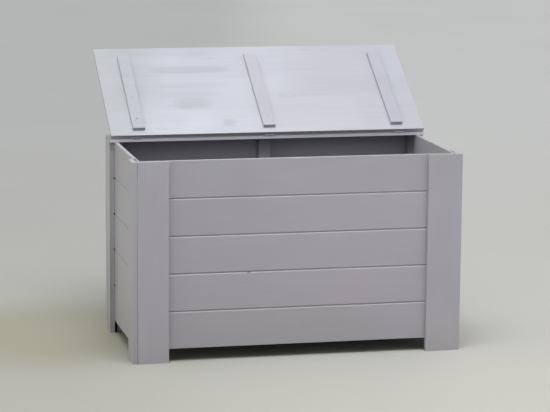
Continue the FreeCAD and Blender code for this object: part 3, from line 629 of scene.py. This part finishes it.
def ragged(graph, place, along, across):
    """place pushed about by noise that is drawn out along X, to break up the edges of marks."""
    drawn = graph.place(place, scale=RAGGED_STRETCH)
    push = graph.add("TexNoise", {"Vector": drawn, "Scale": 1.0, "Detail": 3.0}).outputs["Color"]
    centred = graph.vector("SUBTRACT", push, NO_PUSH)["Vector"]
    return graph.vector("MULTIPLY_ADD", centred, (along, across, 0), place)["Vector"]


def knot(graph, place, x, s, radius):
    """A knot under thin paint: a darker heart in a few rings."""
    reach = graph.length(from_middle(graph, place, x, s, radius * KNOT_LONG, radius))
    rings = graph.math("SINE", graph.times(reach, KNOT_RINGS))
    rings = graph.times(rings, graph.span(reach, *KNOT_RINGS_FADE))
    return graph.plus(graph.span(reach, *KNOT_HEART), rings)


def lid_marks(graph, place):
    """(how much darker, relief) of the streaks, smears and knots."""
    torn = ragged(graph, place, *TORN)
    rough = ragged(graph, place, *ROUGH)
    wavy = ragged(graph, place, *WAVY)
    dark = [graph.times(patch(graph, torn, *mark, STREAK_SOFT), depth)
            for *mark, depth in LID_STREAKS]
    dark += [graph.times(patch(graph, rough, *mark, SMEAR_SOFT), depth)
             for *mark, depth in LID_SMEARS]
    grain = graph.noise(graph.place(place, scale=STAIN_GRAIN), detail=2.0)
    marks = graph.times(graph.total(dark), graph.span(grain, *STAIN_UNEVEN))
    knots = graph.total([knot(graph, wavy, *mark) for mark in LID_KNOTS])
    return graph.plus(marks, graph.times(knots, KNOT_STAIN)), knots


def panel_coat(graph, place):
    """The panel's thin coat, whose shade drifts across the lid."""
    colour = LID_COAT
    drift = ragged(graph, place, *DRIFT)
    for *mark, shade in LID_SHADES:
        colour = graph.mix(patch(graph, drift, *mark, SHADE_SOFT), colour, shade)
    return colour


def filler_coat(graph, place):
    """The filled screw heads: their batten's colour, but darker where the filler has sunk."""
    across = graph.part(place, "X")
    to_middle = graph.span(across, *LEFT_TO_MIDDLE)
    colour = graph.mix(to_middle, BATTEN_COATS["left"], BATTEN_COATS["middle"])
    colour = graph.mix(graph.span(across, *MIDDLE_TO_RIGHT), colour, BATTEN_COATS["right"])
    sunk = [graph.times(patch(graph, place, x, s, DIMPLE_HALF, DIMPLE_HALF, DIMPLE_SOFT), -depth)
            for x, s, depth in SCREW_DIMPLES]
    return graph.brighten(colour, graph.total(sunk))


def grained(graph, place, layers, colour):
    """The thin coat's colour with streaks along the grain."""
    staves = graph.noise(graph.place(place, scale=STAVES), detail=2.0)
    fibres = graph.noise(graph.place(place, scale=FIBRES), detail=2.0)
    colour = graph.vary(colour, staves, *NOISE_RANGE, STAVES_SHADE)
    colour = graph.vary(colour, fibres, *NOISE_RANGE, FIBRES_SHADE)
    return graph.vary(colour, layers["mottle"], *MOTTLE_RANGE, COAT_MOTTLE)


def plain_coat(graph, place, name):
    """The thin coat of a lid piece before its grain and marks."""
    if name == "lid_panel":
        return panel_coat(graph, place)
    if name == "batten_screws":
        return filler_coat(graph, place)
    return BATTEN_COATS[name.split("_")[0]]


def lid_finish(name, grain, shift):
    """The lid: ordinary paint on top and at the edges, one thin coat underneath."""
    graph = Finish("coat_" + name)
    place = lid_place(graph)
    moved = graph.place(place, move=shift)
    layers = wood_layers(graph, moved, grain, "Z")
    coat = grained(graph, place, layers, plain_coat(graph, place, name))
    normal = satin(graph, layers, 0.0)
    if name == "lid_panel":
        under = underside(graph)
        dark, knots = lid_marks(graph, place)
        coat = graph.brighten(coat, graph.times(dark, -1.0))
        coat = graph.mix(under, paint_colour(graph, moved, layers, PAINT), coat)
        normal = graph.bump(graph.times(knots, under), LID_KNOT_RELIEF, normal)
    graph.set("Base Color", coat)
    graph.set("Normal", normal)
    return graph.material


# ---------------------------------------------------------------- steel
STEEL_GRAIN = (60, 2200, 2200)
STEEL_SPOTS = 240.0       # dull spots per metre
STEEL_SPOTTED = (0.42, 0.62)      # the noise that makes them: bright, and dull
STEEL_ROUGH = (0.30, 0.50)        # bright, and dull
STEEL_RELIEF = 0.00001


def steel(name, shift):
    """Bright zinc with a fine brushed grain and dull spots."""
    graph = Finish(name)
    place = graph.place(graph.own_place(), move=shift)
    grain = graph.noise(graph.place(place, scale=STEEL_GRAIN), detail=1.0)
    spots = graph.span(graph.noise(place, scale=STEEL_SPOTS, detail=2.0), *STEEL_SPOTTED)
    dull = STEEL_OLD if "left" in name else STEEL_DULL
    bright = STEEL_NEW if "right" in name else STEEL
    graph.set("Base Color", graph.mix(spots, bright, dull))
    graph.set("Metallic", 1.0)
    graph.set("Roughness", graph.span(spots, 0.0, 1.0, *STEEL_ROUGH))
    graph.set("Normal", graph.bump(grain, STEEL_RELIEF))
    return graph.material


# ---------------------------------------------------------------- which finish each node gets
METAL = ("leaf", "pin", "leaf_screws", "nails")
GOLDEN = 0.6180339887
SHIFT_STEPS = (1.0, 2.3, 3.7)     # how fast X, Y and Z move through the texture
SHIFT_REACH = 9.0
TONE_STEP = 5.1
TONE_RANGE = 0.02                 # pieces differ by this much in brightness
CHEST_FLOOR_SHADE = 0.35                 # but the chest's floor is painted darker, so less light bounces and the inside stays in shade


def dress(name, material):
    slots = NODES[name].data.materials
    slots.clear()
    slots.append(material)


def shift_of(index):
    """A different place in the texture for each piece."""
    return tuple(round(((index + 1) * GOLDEN * k) % 1.0 * SHIFT_REACH, 3) for k in SHIFT_STEPS)


def tone_of(index):
    """A slightly different brightness for each piece."""
    return 1.0 + TONE_RANGE * (((index + 1) * GOLDEN * TONE_STEP) % 1.0 - 0.5)


def finish_of(name):
    """(grain axis, axis through the face, on the lid) of a painted node."""
    if "lid_batten" in name:
        return "Y", "Z", True
    if name == "lid_panel":
        return "X", "Z", True
    if name.startswith(("floor_board", "hinge_rail")):
        return "X", "Z", False
    if "bearer" in name:
        return "Y", "Z", False
    side = name.startswith(("left", "right"))
    if name.endswith(("stile", "post")):
        return "Z", "X" if side and name.endswith("stile") else "Y", False
    return ("Y", "X", False) if side else ("X", "Y", False)


def dress_nodes():
    for index, name in enumerate(sorted(NODES)):
        grain, face, lid = finish_of(name)
        shift = shift_of(index)
        if name.endswith(METAL):
            dress(name, steel("zinc_" + name, shift))
        elif lid or name == "batten_screws":
            dress(name, lid_finish(name, grain, shift))
        else:
            tone = CHEST_FLOOR_SHADE if name.startswith("floor_board") else tone_of(index)
            dress(name, painted(name, grain, face, shift, tone))


# ---------------------------------------------------------------- camera
CAMERA_PLACE = (-1.924569, -8.378926, 1.959571)
CAMERA_YAW = 13.04615                    # degrees to the right of +Y
CAMERA_PITCH = -9.82899
CAMERA_ROLL = 0.46173
LENS = 152.89
SENSOR = 36.0


def make_camera():
    data = bpy.data.cameras.new("photo_camera")
    data.sensor_width = SENSOR
    data.lens = LENS
    data.clip_end = 100
    camera = bpy.data.objects.new("photo_camera", data)
    bpy.context.scene.collection.objects.link(camera)
    aim = Euler((math.radians(90 + CAMERA_PITCH), 0, math.radians(-CAMERA_YAW))).to_matrix()
    turn = aim @ Matrix.Rotation(math.radians(CAMERA_ROLL), 3, "Z")
    camera.matrix_world = Matrix.Translation(CAMERA_PLACE) @ turn.to_4x4()
    bpy.context.scene.camera = camera


# ---------------------------------------------------------------- floor
# Depth is Y, and across is how far to the right a point lies in the picture, from the origin.
FLOOR_HALF = 30.0
FLOOR_NEAR = (0.388, 0.382, 0.365)
FLOOR_FAR = (0.411, 0.413, 0.429)
FLOOR_CHANGE = (-1.5, 6.0)               # depths of near and far
FLOOR_BLOTCHES = 0.7                     # per metre
FLOOR_BLOTCH_SHADE = 0.015
FLOOR_LEFT_SHADE = (0.25, -0.75, 0.0, -0.16)   # painted shade towards the picture's left
FLOOR_RIGHT_LIGHT = 0.07                      # painted light towards its right, near the camera
BRIGHT_ACROSS = (0.25, 0.8)
BRIGHT_DEPTH = (1.5, 0.0)
FLOOR_SHADOW_BESIDE = (0.280, 0.265, 0.219)       # painted shadow beside the chest's left side, dull and yellowish
BESIDE_MOVE = (0.85, -0.05, 0)           # brings that patch's middle to the origin
BESIDE_SCALE = (1, 0.8, 1)
BESIDE_EDGE = (0.62, 0.18)
FLOOR_ROUGH = 0.7
FLOOR_SPECULAR = 0.2
BOUNCE_NEAR = (0.300, 0.297, 0.280)      # how much light the floor throws back up at the chest
BOUNCE_FRONT = (0.525, 0.515, 0.535)     # and in front, below the picture
BOUNCE_DEPTH = (-0.48, -1.02)
BOUNCE_ACROSS = (-0.7, 0.9, -0.28, 0.30)


def seen_rays(graph):
    """1 for what the camera sees, also in a reflection or through glass, and 0 for light."""
    path = graph.add("LightPath").outputs
    seen = graph.math("MAXIMUM", path["Is Camera Ray"], path["Is Glossy Ray"])
    return graph.math("MAXIMUM", seen, path["Is Transmission Ray"])


def floor_colour(graph, place, depth, across):
    """The floor as it is seen: painted shade to the left, a painted shadow just beside the chest,
    painted light near on the right.
    """
    colour = graph.mix(graph.span(depth, *FLOOR_CHANGE), FLOOR_NEAR, FLOOR_FAR)
    blotches = graph.noise(place, scale=FLOOR_BLOTCHES, detail=3.0)
    colour = graph.vary(colour, blotches, *NOISE_RANGE, FLOOR_BLOTCH_SHADE)
    colour = graph.brighten(colour, graph.span(across, *FLOOR_LEFT_SHADE))
    near_right = graph.times(graph.span(across, *BRIGHT_ACROSS), graph.span(depth, *BRIGHT_DEPTH))
    colour = graph.brighten(colour, graph.times(near_right, FLOOR_RIGHT_LIGHT))
    reach = graph.length(graph.place(place, move=BESIDE_MOVE, scale=BESIDE_SCALE))
    return graph.mix(graph.span(reach, *BESIDE_EDGE), colour, FLOOR_SHADOW_BESIDE)


def floor_bounce(graph, depth, across):
    """The floor as light meets it: brighter in front of the chest and to the right."""
    bounce = graph.mix(graph.span(depth, *BOUNCE_DEPTH), BOUNCE_NEAR, BOUNCE_FRONT)
    return graph.brighten(bounce, graph.span(across, *BOUNCE_ACROSS))


def make_floor():
    mesh = bpy.data.meshes.new("studio_floor")
    corners = [(x * FLOOR_HALF, y * FLOOR_HALF, 0) for x, y in ((-1, -1), (1, -1), (1, 1), (-1, 1))]
    mesh.from_pydata(corners, [], [(0, 1, 2, 3)])
    floor = bpy.data.objects.new("studio_floor", mesh)
    bpy.context.scene.collection.objects.link(floor)
    graph = Finish("floor_paint")
    place = graph.own_place()
    depth = graph.part(place, "Y")
    across = graph.part(graph.place(place, turn=(0, 0, math.radians(CAMERA_YAW))), "X")
    bounce = floor_bounce(graph, depth, across)
    colour = floor_colour(graph, place, depth, across)
    graph.set("Base Color", graph.mix(seen_rays(graph), bounce, colour))
    graph.set("Roughness", FLOOR_ROUGH)
    graph.set("Specular IOR Level", FLOOR_SPECULAR)
    mesh.materials.append(graph.material)


# ---------------------------------------------------------------- light
BACKGROUND = (0.50, 0.50, 0.49)
SKY_AROUND = (-0.9, -0.1, 0.40, 0.70)    # the studio's soft light: low in front, brighter behind
SKY_LEFT = (-0.3, -0.9, 0.0, 0.78)       # more from the left
KEY_FROM = Vector((-0.04, -0.27, 0.95)).normalized()
SKY_KEY = (0.925, 0.985, 0.0, 6.85)      # and most from above, a little in front
TINT_ACROSS = (-0.8, 0.8)
TINT_LEFT = (1.0, 1.03, 0.925)
TINT_RIGHT = (1.0, 0.995, 1.02)
SOFTBOX_PLACE = (-0.1, -1.45, 3.9)
SOFTBOX_TARGET = (0, -0.2, 0.4)
SOFTBOX_SIZE = (2.0, 1.2)
SOFTBOX_POWER = 40


def make_world():
    world = bpy.data.worlds.new("studio")
    bpy.context.scene.world = world
    world.use_nodes = True
    world.node_tree.nodes.clear()
    graph = Graph(world.node_tree)
    way = graph.add("TexCoord").outputs["Generated"]
    across = graph.part(way, "X")
    around = graph.span(graph.part(way, "Y"), *SKY_AROUND)
    left = graph.span(across, *SKY_LEFT)
    key = graph.span(graph.dot(way, KEY_FROM), *SKY_KEY)
    tint = graph.mix(graph.span(across, *TINT_ACROSS), TINT_LEFT, TINT_RIGHT)
    strength = graph.total([around, left, key])
    light = graph.add("Background", {"Color": tint, "Strength": strength}).outputs[0]
    shown = graph.add("Background", {"Color": (*BACKGROUND, 1), "Strength": 1.0}).outputs[0]
    mixed = graph.add("MixShader", {0: seen_rays(graph), 1: light, 2: shown}).outputs[0]
    graph.add("OutputWorld", {"Surface": mixed})


def make_softbox():
    data = bpy.data.lights.new("overhead_softbox", "AREA")
    data.shape = "RECTANGLE"
    data.size, data.size_y = SOFTBOX_SIZE
    data.energy = SOFTBOX_POWER
    light = bpy.data.objects.new("overhead_softbox", data)
    bpy.context.scene.collection.objects.link(light)
    light.location = SOFTBOX_PLACE
    aim = Vector(SOFTBOX_TARGET) - Vector(SOFTBOX_PLACE)
    light.rotation_euler = aim.to_track_quat("-Z", "Y").to_euler()


dress_nodes()
make_camera()
make_floor()
make_world()
make_softbox()
bpy.context.scene.view_settings.view_transform = "Standard"
